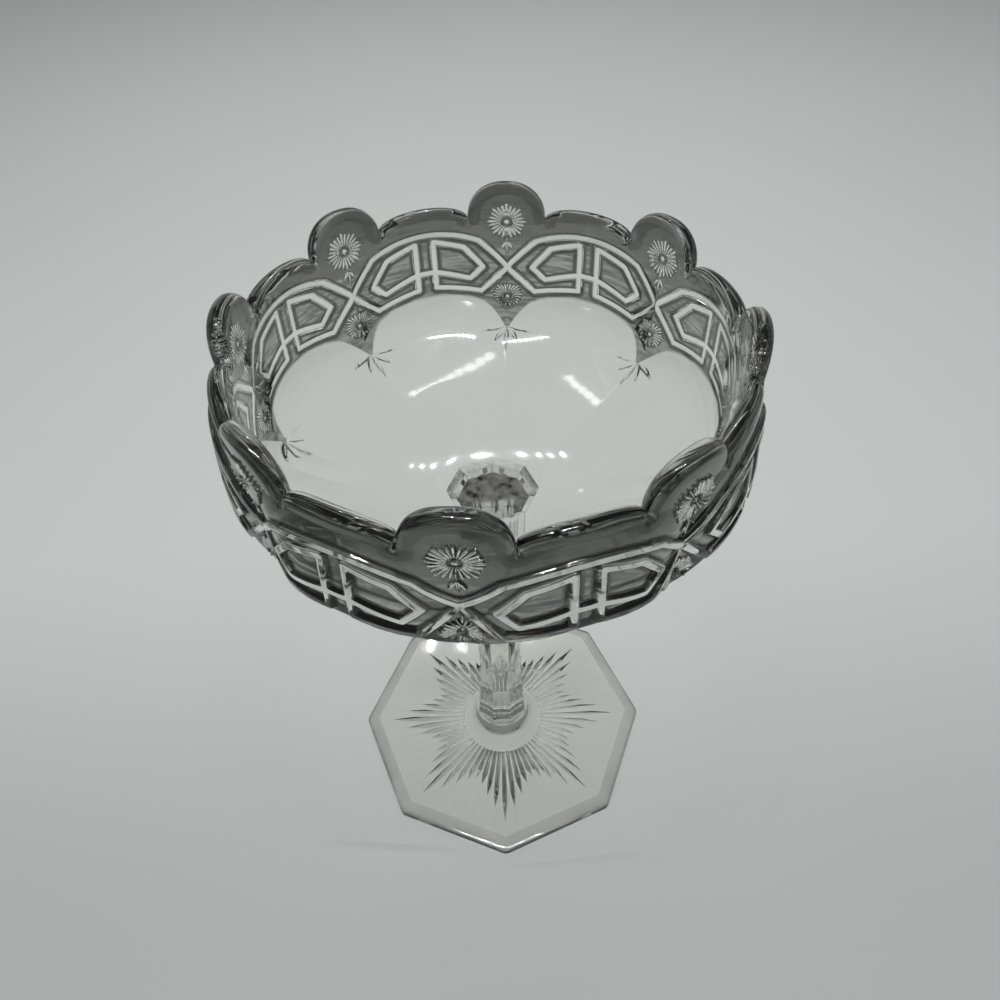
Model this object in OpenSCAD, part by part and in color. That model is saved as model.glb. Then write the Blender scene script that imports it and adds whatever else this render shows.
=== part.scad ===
// Footed compote bowl in clear pressed glass, eightfold throughout.
// An octagonal foot with a sunburst pressed into its underside carries a
// faceted stem. On the stem stands a shallow bowl whose upright band has a
// scalloped rim with eight tall lobes, and raised crossing frames and daisies.
// Origin: middle of the resting face, +Z up. Units: millimetres and degrees.

/* [Foot] */
// Distance across the foot's corners
foot_across = 124; // [112:1:136]
// Height of the foot plate at its border
foot_edge_t = 3.4; // [3:0.1:4.5]
// Height of the foot plate inside its border
foot_plate_t = 4.4; // [4:0.1:6]
// Width of the sloped border round the foot
foot_border_w = 5.2; // [4:0.1:7]
// Radius of the foot's rounded corners
foot_corner_r = 4; // [2:0.5:7]
// Radius of the smooth dome where it leaves the plate
dome_r = 17.5; // [15:0.5:20]
// Height of the dome's top, on which the stem stands
dome_h = 13.4; // [11:0.2:16]

/* [Sunburst] */
// Distance from the centre to the tips of the eight long rays
ray_long = 51; // [44:0.5:52]
// Distance from the centre to the tips of the shortest rays
ray_short = 32; // [28:0.5:38]
// Rays from one corner of the foot to the next
rays_per_side = 8; // [6:2:10]
// Depth of a ray's groove in the underside
ray_depth = 1.5; // [0.8:0.1:1.8]
// Width of a ray where it is widest
ray_w = 2.4; // [1.8:0.1:2.5]

/* [Stem] */
// Distance across the corners of the stem's foot end
stem_base_across = 22.6; // [20:0.2:23.4]
// Distance across the corners of the stem's waist
stem_waist_across = 17; // [14:0.5:19]
// Height of the waist above the resting face
stem_waist_z = 52; // [44:1:60]
// Distance across the corners of the shaft just under its top flare
stem_shaft_across = 24.8; // [21:0.2:26]
// Height of the short flare at the top of the stem
stem_flare_h = 7; // [5:0.5:10]
// Distance across the corners of the stem's top, the seat of the bowl
seat_across = 32.4; // [30:0.2:35]
// Height of the seat of the bowl above the resting face
seat_z = 150; // [135:1:165]

/* [Bowl] */
// Turn of the bowl against the foot, as the two were joined by hand
bowl_turn = -6; // [-10:1:10]
// Outer radius of the band at its lower edge
band_low_r = 76; // [73:0.5:78]
// Outer radius of the band under its rim
band_top_r = 80.2; // [76:0.5:84]
// Thickness of the band's rounded rim
band_wall = 5.6; // [4:0.1:6.4]
// Thickness of the band under a lobe at its lower edge
band_low_wall = 3; // [2.5:0.1:4]
// Thickness of the glass over the seat, in the middle of the bowl
floor_t = 5.5; // [4:0.1:8]
// Height of the crossings of the frames above the seat
cross_h = 43; // [40:0.5:46]
// How far a panel of the band swells out at its lower edge
panel_swell = 5; // [3:0.1:6]

/* [Rim] */
// Height of the rim's notches above the crossings
notch_h = 20.6; // [19:0.1:23]
// Height of the eight tall lobes above the notches
lobe_h = 12.8; // [9:0.1:15]
// Height of the wide scallops between the lobes above the notches
scallop_h = 4.8; // [3:0.1:7]
// Half the width of a tall lobe, as an angle at the axis
lobe_half = 10.4; // [9:0.1:12]

/* [Relief] */
// Height of the raised ribs over the band
rib_h = 1.2; // [0.8:0.1:1.6]
// Width of a rib at its root
rib_root_w = 2.8; // [2.2:0.1:3.2]
// Width of a rib's flat top
rib_top_w = 1; // [0.6:0.1:1.6]
// Radius of the daisies over the crossings
daisy_high_r = 5.8; // [4.5:0.1:6.5]
// Radius of the daisies under the crossings
daisy_low_r = 5; // [4:0.1:5.5]
// Height of the petals over the band
petal_h = 0.9; // [0.6:0.1:1.4]

/* [Hidden] */

glass = [0.86, 0.9, 0.89, 0.5];
SIDES = 8;
PITCH = 360 / SIDES;
HALF = PITCH / 2;
// How far a cut runs past the face that it opens
overrun = 0.6;
// How far raised work is rooted in the wall that carries it
root = 0.5;

// Small measures of the foot
foot_r = foot_across / 2;
CORNER_STEPS = 4;
DOME_STEPS = 16;
ray_start = dome_r;
// A ray's blunt root, as shares of the room between rays and of a ray's depth
ray_root_w_share = 0.94;
ray_root_depth_share = 0.6;
ray_root_w = ray_root_w_share * 2 * PI * ray_start / (SIDES * rays_per_side);
ray_root_depth = ray_root_depth_share * ray_depth;
// Where a ray is widest, as a share of its length
ray_wide_share = 0.7;
// How steeply the rays grow towards the corners of the foot
ray_power = 1.5;
DOME_FACES = 96;

// Small measures of the stem
base_r = stem_base_across / 2;
waist_r = stem_waist_across / 2;
shaft_r = stem_shaft_across / 2;
seat_r = seat_across / 2;
flare_z = seat_z - stem_flare_h;
// The faceted foot end of the stem, whose corners lie at the middle of the shaft's
// faces: heights between the dome and the waist, and widths from waist to base
collar_z_share = [0, 0.3, 0.68, 1, 1.22];
collar_r_share = [1, 0.58, 0.4, -0.02, -0.4];
// Where the shaft starts, hidden in the foot end
shaft_start_share = 0.8;
// The bend in the flare, as shares of its width and height
flare_r_share = 0.35;
flare_z_share = 0.6;

// Heights of the bowl over the resting face
cross_z = seat_z + cross_h;
notch_z = cross_z + notch_h;
// Places on the band, as shares of the height from seat to crossing
cusp_share = 0.512;
arch_share = 0.744;
cusp_z = seat_z + cusp_share * cross_h;
arch_z = seat_z + arch_share * cross_h;
// Angles of the columns of the bowl's mesh inside half a sector, as shares of it
lobe_columns_share = [0, 0.4, 0.72, 0.94];
scallop_columns_share = [0.05, 0.32, 0.64, 1];
columns = concat(
    [for (s = lobe_columns_share) s * lobe_half],
    [for (s = scallop_columns_share) lobe_half + s * (HALF - lobe_half)]
);
sector_columns = concat(
    columns,
    [for (i = [len(columns) - 2:-1:1]) PITCH - columns[i]]
);
angles = [for (k = [0:SIDES - 1]) for (a = sector_columns) k * PITCH + a];
FLUTE_ROWS = 4;
RIM_ROWS = 4;
FLOOR_ROWS = 3;
// How suddenly a panel swells out beside a lobe
swell_power = 3;
// How steeply the outside and the inside of the bowl rise towards the band
flute_power = 1.85;
floor_power = 2.6;
// Height of the inside at the foot of the band, as a share of the arches' height
basin_share = 0.735;
basin_r = band_low_r - band_low_wall;
// Where the inside of the bowl turns up into the band, as shares of its radius and height
turn_r_share = 0.9;
turn_z_share = 0.3;
TURN_ROWS = 2;
// How full the tops of the lobes and of the scallops are
lobe_power = 2.3;
scallop_power = 2.2;

// The frames, in degrees from a panel's middle and as shares of the notches' height
bar_a = 2.5;
frame_low = -0.075 * notch_h;
frame_foot = -0.415 * notch_h;
frame_corner_a = 14.8;
frame_corner_low = -0.56 * notch_h;
frame_corner_high = 0.49 * notch_h;
frame_top = 0.69 * notch_h;
ARCH_STEPS = 4;
house_top = 0.54 * notch_h;
house_shoulder_a = 10.6;
house_shoulder = 0.37 * notch_h;
house_point_a = 15.6;
house_point = -0.03 * notch_h;
house_heel_a = 12;
house_heel = -0.28 * notch_h;

// The daisies: heights of their middles, and their petals as shares of their radius
daisy_high = 0.88 * notch_h;
daisy_low = -0.6 * notch_h;
PETALS = 8;
petal_near_share = 0.26;
petal_width_share = 0.44;
petal_waist_share = 0.55;
button_top_share = 0.14;
button_root_share = 0.22;
BUTTON_FACES = 6;
// The three leaves under a high daisy, as shares of their length and in degrees
leaf_near_share = 0.1;
leaf_width_share = 0.26;
leaf_spread = 32;

function lerp(a, b, s) = a + (b - a) * s;
function unit(v) = v / norm(v);
function polar(r, a) = [r * cos(a), r * sin(a)];
function on_axis(r, a, z) = [r * cos(a), r * sin(a), z];

// Angle from the nearest lobe's middle, 0 to HALF
function from_lobe(a) = abs(((a + HALF) % PITCH + PITCH) % PITCH - HALF);

// A share that runs from 0 at a lobe's middle to 1 between two lobes, rounded there
function panel_share(a) = 1 - pow(1 - from_lobe(a) / HALF, 2);

// Radius of an octagon with its corners at the lobes
function octagon_r(r, a) = r * cos(HALF) / cos(HALF - from_lobe(a));

// Lower edge of the band: a cusp under each lobe and an arch between them
function band_edge_z(a) = lerp(cusp_z, arch_z, panel_share(a));

// Outer radius of the band at a height
function band_r(a, z) =
    let (s = (z - cusp_z) / (notch_z - cusp_z))
    let (rounded = 1 - pow(1 - from_lobe(a) / HALF, swell_power))
    let (swell = panel_swell * rounded * max(0, 1 - s * s))
    lerp(band_low_r, band_top_r, s) + swell;

// Inner radius of the band at a height
function wall_r(z) =
    lerp(basin_r, band_top_r - band_wall, (z - cusp_z) / (notch_z - cusp_z));

// Height of the rim's top
function rim_z(a) =
    let (t = from_lobe(a))
    t < lobe_half
        ? notch_z + lobe_h * sqrt(1 - pow(t / lobe_half, lobe_power))
        : notch_z + scallop_h * sqrt(1 - pow((HALF - t) / (HALF - lobe_half), scallop_power));

// Inside of the bowl, a plain turned form
function floor_z(r) =
    let (rise = basin_share * (arch_z - seat_z))
    seat_z + floor_t + rise * pow(r / basin_r, floor_power);

// One column of the bowl's section, from the seat outside to the floor inside
function column(a) =
    let (edge_z = band_edge_z(a))
    let (edge_r = band_r(a, edge_z))
    let (start_r = octagon_r(seat_r, a))
    let (top_z = rim_z(a) - band_wall / 2)
    let (turn = [turn_r_share * basin_r, floor_z(turn_r_share * basin_r)])
    let (corner = [basin_r, floor_z(basin_r)])
    let (wall_z = lerp(arch_z, notch_z, turn_z_share))
    let (wall = [wall_r(wall_z), wall_z])
    concat(
        [for (i = [0:FLUTE_ROWS])
            let (s = i / FLUTE_ROWS)
            [lerp(start_r, edge_r, s), lerp(seat_z, edge_z, pow(s, flute_power))]],
        [for (s = [0.5, 1])
            let (z = lerp(edge_z, top_z, s))
            [band_r(a, z), z]],
        [for (i = [1:RIM_ROWS - 1])
            let (turned = 180 * i / RIM_ROWS)
            [band_r(a, top_z) - band_wall / 2 * (1 - cos(turned)),
             top_z + band_wall / 2 * sin(turned)]],
        [[band_r(a, top_z) - band_wall, top_z]],
        [for (i = [0:TURN_ROWS])
            let (s = i / TURN_ROWS)
            pow(1 - s, 2) * wall + 2 * s * (1 - s) * corner + pow(s, 2) * turn],
        [for (i = [1:FLOOR_ROWS - 1])
            let (r = turn[0] * (1 - i / FLOOR_ROWS))
            [r, floor_z(r)]]
    );

// Skin of a closed solid between a bottom point and a top point through equal columns
module turned_skin(sections, low, high) {
    count = len(sections);
    rows = len(sections[0]);
    points = concat(
        [for (section = sections) each section],
        [low, high]
    );
    last = count * rows;
    faces = concat(
        [for (i = [0:count - 1])
            for (j = [0:rows - 2])
                let (k = (i + 1) % count)
                each [
                    [i * rows + j, i * rows + j + 1, k * rows + j + 1],
                    [i * rows + j, k * rows + j + 1, k * rows + j]
                ]],
        [for (i = [0:count - 1])
            let (k = (i + 1) % count)
            each [
                [last, i * rows, k * rows],
                [last + 1, k * rows + rows - 1, i * rows + rows - 1]
            ]]
    );
    polyhedron(points, faces, convexity = 8);
}

// Offsets a point of a path sideways by w, mitred at its corners
function mitred(path, i, w, closed) =
    let (n = len(path))
    let (before = closed ? (i - 1 + n) % n : max(i - 1, 0))
    let (after = closed ? (i + 1) % n : min(i + 1, n - 1))
    let (d1 = before == i ? unit(path[after] - path[i]) : unit(path[i] - path[before]))
    let (d2 = after == i ? d1 : unit(path[after] - path[i]))
    let (side = unit([-d1[1] - d2[1], d1[0] + d2[0]]))
    path[i] + side * w / (side * [-d1[1], d1[0]]);

// A point of the band's unrolled face, given as distance round it and height
// over the crossings, brought onto the band and lifted off it
function lifted(p, middle, lift) =
    let (a = middle + p[0] / band_low_r * 180 / PI)
    let (z = cross_z + p[1])
    on_axis(band_r(a, z) + lift, a, z);

// Degrees and height on the band become distances on its unrolled face
function unrolled(path) = [for (p = path) [p[0] * PI / 180 * band_low_r, p[1]]];

function mirrored(path) = [for (p = path) [-p[0], p[1]]];

function reversed(path) = [for (i = [len(path) - 1:-1:0]) path[i]];

// A raised rib with a flat top along a path on the band
module rib(path, middle, closed = true) {
    flat = unrolled(path);
    n = len(flat);
    points = [for (i = [0:n - 1]) each [
        lifted(mitred(flat, i, -rib_root_w / 2, closed), middle, -root),
        lifted(mitred(flat, i, -rib_top_w / 2, closed), middle, rib_h),
        lifted(mitred(flat, i, rib_top_w / 2, closed), middle, rib_h),
        lifted(mitred(flat, i, rib_root_w / 2, closed), middle, -root)
    ]];
    last = closed ? n - 1 : n - 2;
    sides = [for (i = [0:last])
        for (j = [0:3])
            let (k = (i + 1) % n)
            let (m = (j + 1) % 4)
            each [
                [4 * i + j, 4 * k + m, 4 * k + j],
                [4 * i + j, 4 * i + m, 4 * k + m]
            ]];
    ends = closed ? [] : [[2, 1, 0], [3, 2, 0], [4 * n - 3, 4 * n - 2, 4 * n - 1],
        [4 * n - 4, 4 * n - 3, 4 * n - 1]];
    polyhedron(points, concat(sides, ends), convexity = 6);
}

// The long frame round a panel, open between its two bars
module frame(middle) {
    half_arch = [for (i = [0:ARCH_STEPS / 2])
        let (s = 1 - 2 * i / ARCH_STEPS)
        [frame_corner_a * s, lerp(frame_top, frame_corner_high, s * s)]];
    half = concat(
        [[bar_a, frame_low], [bar_a, frame_foot], [frame_corner_a, frame_corner_low], [HALF, 0]],
        half_arch
    );
    back = [for (i = [len(half) - 2:-1:0]) half[i]];
    rib(concat(half, mirrored(back)), middle, closed = false);
}

// The house-shaped frame on one side of a panel
function house() = [
    [bar_a, house_top],
    [bar_a, frame_low],
    [house_heel_a, house_heel],
    [house_point_a, house_point],
    [house_shoulder_a, house_shoulder]
];

// A pointed petal or leaf lying on the band, from near its root to its tip
module petal(centre, middle, turned, near, far, width, height) {
    along = [sin(turned), cos(turned)];
    across = [cos(turned), -sin(turned)];
    waist = lerp(near, far, petal_waist_share);
    low = [centre + near * along, centre + waist * along + width / 2 * across,
        centre + far * along, centre + waist * along - width / 2 * across];
    points = concat(
        [for (p = low) lifted(p, middle, -root)],
        [lifted(centre + waist * along, middle, height)]
    );
    sides = [for (i = [0:3]) [i, 4, (i + 1) % 4]];
    polyhedron(points, concat(sides, [[0, 1, 2], [0, 2, 3]]), convexity = 4);
}

// A daisy of eight petals round a button
module daisy(middle, height_on_band, radius) {
    centre = [0, height_on_band];
    for (i = [0:PETALS - 1])
        petal(
            centre, middle, i * 360 / PETALS,
            petal_near_share * radius, radius, petal_width_share * radius, petal_h
        );
    translate(lifted(centre, middle, 0))
        rotate([0, 90, middle])
            hull() {
                cylinder(h = petal_h, r = button_top_share * radius, $fn = BUTTON_FACES);
                translate([0, 0, -root])
                    cylinder(h = root, r = button_root_share * radius, $fn = BUTTON_FACES);
            }
}

// Three leaves that fan down from a daisy
module leaves(middle, height_on_band, length) {
    centre = [0, height_on_band];
    for (side = [-1, 0, 1])
        petal(
            centre, middle, 180 + side * leaf_spread,
            leaf_near_share * length, length, leaf_width_share * length, petal_h
        );
}

// The foot's outline, an octagon with rounded corners
function foot_ring(r, corner, z) =
    let (reach = r - corner / cos(HALF))
    [for (k = [0:SIDES - 1])
        for (i = [0:CORNER_STEPS])
            let (p = polar(reach, k * PITCH)
                + polar(corner, k * PITCH + HALF * (2 * i / CORNER_STEPS - 1)))
            [p[0], p[1], z]];

// The plate with its sloped border
module foot_plate() {
    border = foot_border_w;
    inner_corner = max(foot_corner_r - border * (1 / cos(HALF) - 1), foot_corner_r / 2);
    low = foot_ring(foot_r, foot_corner_r, 0);
    edge = foot_ring(foot_r, foot_corner_r, foot_edge_t);
    top = foot_ring(foot_r - border / cos(HALF), inner_corner, foot_plate_t);
    sections = [for (i = [0:len(low) - 1]) [low[i], edge[i], top[i]]];
    turned_skin(sections, [0, 0, 0], [0, 0, foot_plate_t]);
}

// Half the width of a groove's cut under the plate, so that it has its width at the face
function cut_half(width, depth) = width / 2 * (depth + overrun) / depth;

// One groove of the sunburst, blunt at the dome and pointed at its tip
module ray(length) {
    wide = lerp(ray_start, length, ray_wide_share);
    root_half = cut_half(ray_root_w, ray_root_depth);
    wide_half = cut_half(ray_w, ray_depth);
    points = [
        [ray_start, root_half, -overrun],
        [wide, wide_half, -overrun],
        [length, 0, -overrun],
        [wide, -wide_half, -overrun],
        [ray_start, -root_half, -overrun],
        [ray_start, 0, ray_root_depth],
        [wide, 0, ray_depth],
        [length, 0, 0]
    ];
    faces = [
        [4, 3, 2, 1, 0],
        [0, 1, 6, 5],
        [1, 2, 7, 6],
        [2, 3, 6, 7],
        [3, 4, 5, 6],
        [4, 0, 5]
    ];
    polyhedron(points, faces, convexity = 2);
}

// Length of the ray that is i places past a corner of the foot
function ray_reach(i) =
    let (s = abs(2 * i / rays_per_side - 1))
    lerp(ray_short, ray_long, pow(s, ray_power));

module foot() {
    color(glass)
        rotate([0, 0, 90])
            difference() {
                union() {
                    foot_plate();
                    dome();
                }
                for (k = [0:SIDES - 1])
                    for (i = [0:rays_per_side - 1])
                        rotate([0, 0, k * PITCH + i * PITCH / rays_per_side])
                            ray(ray_reach(i));
            }
}

// The smooth dome that gathers the plate up to the stem
module dome() {
    profile = [for (i = [0:DOME_STEPS])
        let (a = 90 * i / DOME_STEPS)
        [lerp(dome_r, base_r, sin(a)), lerp(foot_plate_t, dome_h, 1 - cos(a))]];
    rotate_extrude($fn = DOME_FACES)
        polygon(concat([[0, foot_edge_t]], [[dome_r, foot_edge_t]], profile, [[0, dome_h]]));
}

// A solid with eight flat faces through a list of radius and height pairs
module eight_sided(profile, turned) {
    sections = [for (k = [0:SIDES - 1])
        [for (p = profile) on_axis(p[0], turned + k * PITCH, p[1])]];
    turned_skin(sections, [0, 0, profile[0][1]], [0, 0, profile[len(profile) - 1][1]]);
}

module stem() {
    rise = stem_waist_z - dome_h;
    start_z = dome_h + shaft_start_share * rise;
    taper = (shaft_r - waist_r) / (flare_z - stem_waist_z);
    color(glass)
        rotate([0, 0, 90])
            union() {
                eight_sided([for (i = [0:len(collar_z_share) - 1]) [
                    lerp(waist_r, base_r, collar_r_share[i]),
                    dome_h + collar_z_share[i] * rise
                ]], HALF);
                eight_sided([
                    [waist_r + taper * (start_z - stem_waist_z), start_z],
                    [shaft_r, flare_z],
                    [lerp(shaft_r, seat_r, flare_r_share), lerp(flare_z, seat_z, flare_z_share)],
                    [seat_r, seat_z]
                ], 0);
            }
}

module bowl() {
    color(glass)
        rotate([0, 0, 90 + bowl_turn])
            union() {
                turned_skin(
                    [for (a = angles) [for (p = column(a)) on_axis(p[0], a, p[1])]],
                    [0, 0, seat_z],
                    [0, 0, seat_z + floor_t]
                );
                for (k = [0:SIDES - 1]) {
                    panel = k * PITCH + HALF;
                    frame(panel);
                    rib(house(), panel);
                    rib(mirrored(reversed(house())), panel);
                    rib([[bar_a, frame_low], [-bar_a, frame_low]], panel, closed = false);
                    daisy(k * PITCH, daisy_high, daisy_high_r);
                    leaves(k * PITCH, daisy_high - daisy_high_r, daisy_high_r);
                    daisy(k * PITCH, daisy_low, daisy_low_r);
                }
            }
}

foot();
stem();
bowl();
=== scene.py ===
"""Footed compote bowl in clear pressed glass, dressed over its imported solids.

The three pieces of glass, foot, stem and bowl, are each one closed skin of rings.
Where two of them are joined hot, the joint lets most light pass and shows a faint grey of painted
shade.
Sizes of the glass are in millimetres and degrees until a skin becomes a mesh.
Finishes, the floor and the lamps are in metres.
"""
import logging
import math
from dataclasses import dataclass
from enum import Enum
from typing import Any

import bpy
import numpy as np
from mathutils import Matrix, Vector


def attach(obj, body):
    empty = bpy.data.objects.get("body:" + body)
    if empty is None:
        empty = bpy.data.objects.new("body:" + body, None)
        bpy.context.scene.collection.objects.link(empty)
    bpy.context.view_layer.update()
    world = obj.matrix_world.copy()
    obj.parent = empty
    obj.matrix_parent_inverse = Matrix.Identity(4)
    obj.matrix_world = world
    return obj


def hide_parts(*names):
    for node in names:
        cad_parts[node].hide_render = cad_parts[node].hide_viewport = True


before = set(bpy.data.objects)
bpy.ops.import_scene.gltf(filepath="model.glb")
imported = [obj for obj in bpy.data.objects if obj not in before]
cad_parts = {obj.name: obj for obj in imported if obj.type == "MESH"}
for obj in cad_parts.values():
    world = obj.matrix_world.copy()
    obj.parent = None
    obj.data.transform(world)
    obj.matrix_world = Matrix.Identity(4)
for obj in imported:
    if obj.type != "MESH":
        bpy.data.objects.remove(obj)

logging.basicConfig(level=logging.INFO, format="%(message)s")
log = logging.getLogger("compote")

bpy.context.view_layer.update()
BODY = "root"
MM = 0.001
SIDES = 8
PITCH = 360 / SIDES
HALF = PITCH / 2
FRONT_TURN = 90.0

# Radius and height of the joint of foot and stem, and of stem and bowl
BASE_R = 11.3
BASE_Z = 13.4
SEAT_R = 16.2
SEAT_Z = 150.0

# Least divisors, for a width and for the length of a normal
HAIR = 0.001
NEAR_ZERO = 1e-9
NO_CORNER = -1
# Name of the mesh mark that holds painted shade (above 0) and painted highlight (below 0), and the
# mark of a painted highlight
PAINTED_LIGHT_MARK = "ground"
PAINTED_HIGHLIGHT_MARK = -1.0

Array = np.ndarray
Colour = tuple[float, float, float]
Place = tuple[float, float, float]
Pair = tuple[float, float]
Socket = bpy.types.NodeSocket


class Face(Enum):
    """Which finish a face of a piece takes, by its material slot."""

    GLASS = 0
    JOINT = 1


class Lamp(Enum):
    """The rows of lamps in the studio."""

    LEFT = "lamp_left"
    RIGHT = "lamp_right"
    BACK = "lamp_back"


# Shader maths


class Shade:
    """A value in a material, worked out with plain operators."""

    def __init__(self, bench: "Bench", socket: Socket) -> None:
        """Wraps a socket.

        Args:
            bench: The node bench that the socket is on.
            socket: The output socket that holds the value.
        """
        self.bench = bench
        self.socket = socket

    def worked(self, operation: str, *values: Any) -> "Shade":
        """One Math node.

        Args:
            operation: The node's operation.
            values: Its values in order, numbers or shades.

        Returns:
            The node's result.
        """
        inputs = dict(enumerate(values))
        node = self.bench.node("ShaderNodeMath", {"operation": operation}, inputs)
        return Shade(self.bench, node.outputs[0])

    def __add__(self, other: Any) -> "Shade":
        """Sum."""
        return self.worked("ADD", self, other)

    def __radd__(self, other: Any) -> "Shade":
        """Sum with a number on the left."""
        return self.worked("ADD", other, self)

    def __sub__(self, other: Any) -> "Shade":
        """Difference."""
        return self.worked("SUBTRACT", self, other)

    def __rsub__(self, other: Any) -> "Shade":
        """Difference with a number on the left."""
        return self.worked("SUBTRACT", other, self)

    def __neg__(self) -> "Shade":
        """The value with its sign turned."""
        return self.worked("SUBTRACT", 0, self)

    def __mul__(self, other: Any) -> "Shade":
        """Product."""
        return self.worked("MULTIPLY", self, other)

    def __rmul__(self, other: Any) -> "Shade":
        """Product with a number on the left."""
        return self.worked("MULTIPLY", other, self)

    def larger(self, other: Any) -> "Shade":
        """The larger of two values."""
        return self.worked("MAXIMUM", self, other)

    def smooth(self, low: float, high: float) -> "Shade":
        """A soft step.

        Args:
            low: Value at which the step is 0.
            high: Value at which the step is 1.

        Returns:
            The step.
        """
        settings = {"interpolation_type": "SMOOTHSTEP"}
        inputs = {"Value": self, "From Min": low, "From Max": high}
        node = self.bench.node("ShaderNodeMapRange", settings, inputs)
        return Shade(self.bench, node.outputs["Result"])


@dataclass(frozen=True)
class Grain:
    """A fine unevenness: waves in a metre, finer octaves, and its height in metres."""

    scale: float
    detail: float
    height: float = 0.0


class Bench:
    """Lays nodes into one node tree."""

    MIX_SHARE = 0
    MIX_FIRST = 6
    MIX_SECOND = 7
    MIX_COLOUR = 2

    def __init__(self, tree: bpy.types.NodeTree) -> None:
        """Clears the tree.

        Args:
            tree: The tree of a material or a world.
        """
        self.tree = tree
        tree.nodes.clear()

    def node(self, kind: str, settings: dict[str, Any] | None = None,
             inputs: dict[Any, Any] | None = None) -> bpy.types.Node:
        """Adds a node.

        Args:
            kind: The node's type.
            settings: Attributes of the node, set before its sockets.
            inputs: Values or links of its sockets, by name or number.

        Returns:
            The node.
        """
        made = self.tree.nodes.new(kind)
        for name, value in (settings or {}).items():
            setattr(made, name, value)
        for name, value in (inputs or {}).items():
            socket = made.inputs[name]
            source = value.socket if isinstance(value, Shade) else value
            if isinstance(source, Socket):
                self.tree.links.new(source, socket)
            else:
                socket.default_value = source
        return made

    def where(self, kind: str = "Object") -> Socket:
        """The place of each point of a surface, or the direction in a world."""
        return self.node("ShaderNodeTexCoord").outputs[kind]

    def mixed(self, share: Shade, first: Any, second: Any) -> Socket:
        """Mixes two colours.

        Args:
            share: How much of the second colour there is.
            first: A colour or a socket.
            second: A colour or a socket.

        Returns:
            The socket of the mixed colour.
        """
        ends = [(*end, 1) if isinstance(end, tuple) else end for end in (first, second)]
        inputs = {self.MIX_SHARE: share, self.MIX_FIRST: ends[0], self.MIX_SECOND: ends[1]}
        return self.node("ShaderNodeMix", {"data_type": "RGBA"}, inputs).outputs[self.MIX_COLOUR]

    def noise(self, grain: Grain, where: Socket) -> Shade:
        """Noise over the surface.

        Args:
            grain: How fine it is.
            where: The coordinate socket.

        Returns:
            The noise, about 0 to 1.
        """
        inputs = {"Vector": where, "Scale": grain.scale, "Detail": grain.detail}
        return Shade(self, self.node("ShaderNodeTexNoise", {}, inputs).outputs[0])

    def rise(self, grain: Grain, where: Socket) -> Shade:
        """Noise as a height in metres."""
        return self.noise(grain, where) * grain.height

    def bumped(self, height: Shade) -> Socket:
        """Turns a height in metres into a normal."""
        inputs = {"Strength": 1.0, "Distance": 1.0, "Height": height}
        return self.node("ShaderNodeBump", {}, inputs).outputs["Normal"]

    def split(self, vector: Socket, axis: str) -> Shade:
        """One number of a vector.

        Args:
            vector: The vector's socket.
            axis: X, Y or Z.

        Returns:
            The number.
        """
        return Shade(self, self.node("ShaderNodeSeparateXYZ", {}, {0: vector}).outputs[axis])

    def mark(self, name: str) -> Shade:
        """A mark stored on the mesh's points."""
        node = self.node("ShaderNodeAttribute", {"attribute_name": name})
        return Shade(self, node.outputs["Fac"])

    def surface(self, inputs: dict[str, Any]) -> None:
        """Ends a material with its one shader.

        Args:
            inputs: Values or links of the shader's sockets.
        """
        shader = self.node("ShaderNodeBsdfPrincipled", {}, inputs)
        self.node("ShaderNodeOutputMaterial", {}, {"Surface": shader.outputs[0]})


def blank_material(name: str) -> tuple[bpy.types.Material, Bench]:
    """Starts a material.

    Args:
        name: The material's name.

    Returns:
        The material and the bench for its nodes.
    """
    made = bpy.data.materials.new(name)
    made.use_nodes = True
    return made, Bench(made.node_tree)


# Finishes


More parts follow.
